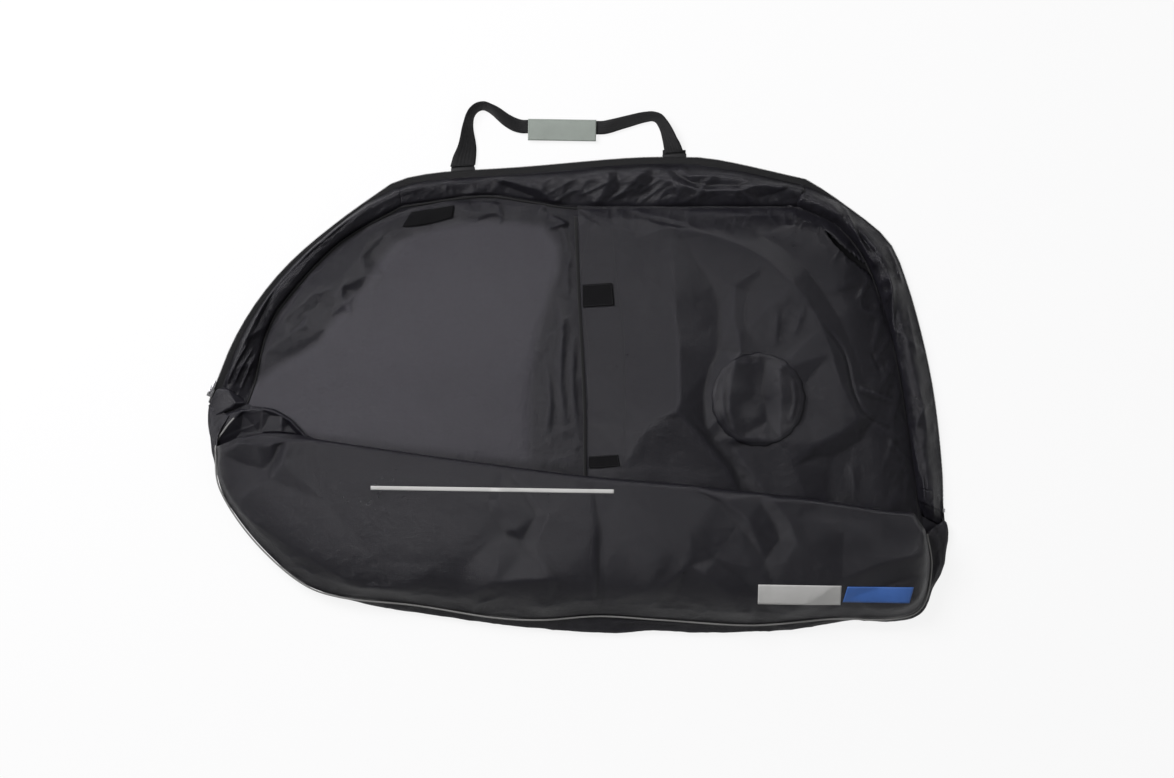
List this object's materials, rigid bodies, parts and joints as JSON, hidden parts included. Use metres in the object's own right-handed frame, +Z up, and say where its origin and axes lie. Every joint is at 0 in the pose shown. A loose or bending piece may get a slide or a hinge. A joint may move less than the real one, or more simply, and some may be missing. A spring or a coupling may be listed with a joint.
{
  "type": "soft bike travel bag",
  "caption": "Soft travel bag for a bicycle lying open on its back: front panel unzipped and tucked down, inner wheel pocket with a hub guard, webbing carry loop with a wrapped grip.",
  "frame": {"origin": "on the floor, under the middle of the whole object's box, strap included", "axes": "+X along the bag from its pointed end to its blunt end, +Y towards the carry strap, +Z up from the floor that the back panel lies on"},
  "size_m": [1.4797, 1.0594, 0.0893],
  "materials": {
    "shell_nylon": "dark charcoal woven nylon, slightly glossy, soft creases",
    "lining_cloth": "grey coated lining cloth, semi-matte with a fine crumple",
    "pad_foam": "closed-cell foam padding",
    "binding_tape": "matte black woven tape with stitching",
    "zip_coil": "black nylon coil",
    "zip_metal": "dull nickel-plated metal",
    "hook_tape": "matte black hook-and-loop tape",
    "guard_plastic": "black sheet plastic",
    "piping": "pale grey reflective piping",
    "reflective_silver": "plain silver-grey reflective print",
    "blue_print": "plain blue print",
    "webbing": "black nylon webbing with a ribbed weave",
    "grip_cloth": "pale grey-green canvas"
  },
  "bodies": {
    "bag_back": {"back_panel": "shell_nylon", "back_foam_pad": "pad_foam", "back_lining": "lining_cloth", "back_seam_binding": "binding_tape", "lining_patch": "hook_tape", "gusset_left": "shell_nylon", "gusset_top": "shell_nylon", "gusset_right": "shell_nylon", "gusset_base": "shell_nylon", "gusset_zip_tape": "binding_tape", "gusset_zip_coil": "zip_coil", "zip_end_stop": "zip_metal", "wheel_pocket_panel": "shell_nylon", "pocket_mouth_hem": "binding_tape", "pocket_mouth_facing": "lining_cloth", "pocket_seam_tape": "binding_tape", "hub_guard_patch": "shell_nylon", "hub_guard_plate": "guard_plastic", "pocket_tab_lower": "hook_tape", "strap_anchor_left": "webbing", "strap_anchor_right": "webbing"},
    "front": {"front_panel": "shell_nylon", "front_foam_pad": "pad_foam", "front_lining": "lining_cloth", "front_piping": "piping", "front_zip_tape": "binding_tape", "front_zip_coil": "zip_coil", "silver_strip": "reflective_silver", "grey_bar": "reflective_silver", "blue_bar": "blue_print"},
    "pocket_tab": {"pocket_tab_upper": "hook_tape"},
    "slider": {"zip_slider": "zip_metal"},
    "pull": {"zip_pull": "zip_metal"},
    "strap": {"carry_strap": "webbing"},
    "grip": {"grip_sleeve": "grip_cloth", "grip_loop_strip": "hook_tape"},
    "grip_flap": {"grip_leaf": "grip_cloth", "grip_hook_strip": "hook_tape"}
  },
  "joints": [
    {"name": "front_panel_lift", "type": "hinge", "parent": "bag_back", "child": "front", "pos_m": [0, -0.51037, 0.03], "axis": [1, 0, 0], "range_deg": [0, 35]},
    {"name": "pocket_tab_fold", "type": "hinge", "parent": "bag_back", "child": "pocket_tab", "pos_m": [0.01134, 0.14071, 0.05227], "axis": [0, -1, 0], "range_deg": [0, 130]},
    {"name": "zip_slider_run", "type": "slide", "parent": "bag_back", "child": "slider", "axis": [0.3666, 0.9304, 0], "range_m": [0, 0.08]},
    {"name": "zip_pull_swing", "type": "hinge", "parent": "slider", "child": "pull", "pos_m": [-0.73161, -0.05137, 0.01225], "axis": [0.9304, -0.3666, 0], "range_deg": [0, 150]},
    {"name": "strap_swing", "type": "hinge", "parent": "bag_back", "child": "strap", "pos_m": [-0.01708, 0.41537, 0.0049], "axis": [0.998, 0.0636, 0], "range_deg": [0, 90]},
    {"name": "grip_slide", "type": "slide", "parent": "strap", "child": "grip", "axis": [0.9999, -0.0153, 0], "range_m": [-0.006, 0.006]},
    {"name": "grip_flap_open", "type": "hinge", "parent": "grip", "child": "grip_flap", "pos_m": [-0.02944, 0.49488, 0.0079], "axis": [-0.9999, 0.0153, 0], "range_deg": [0, 150]}
  ]
}
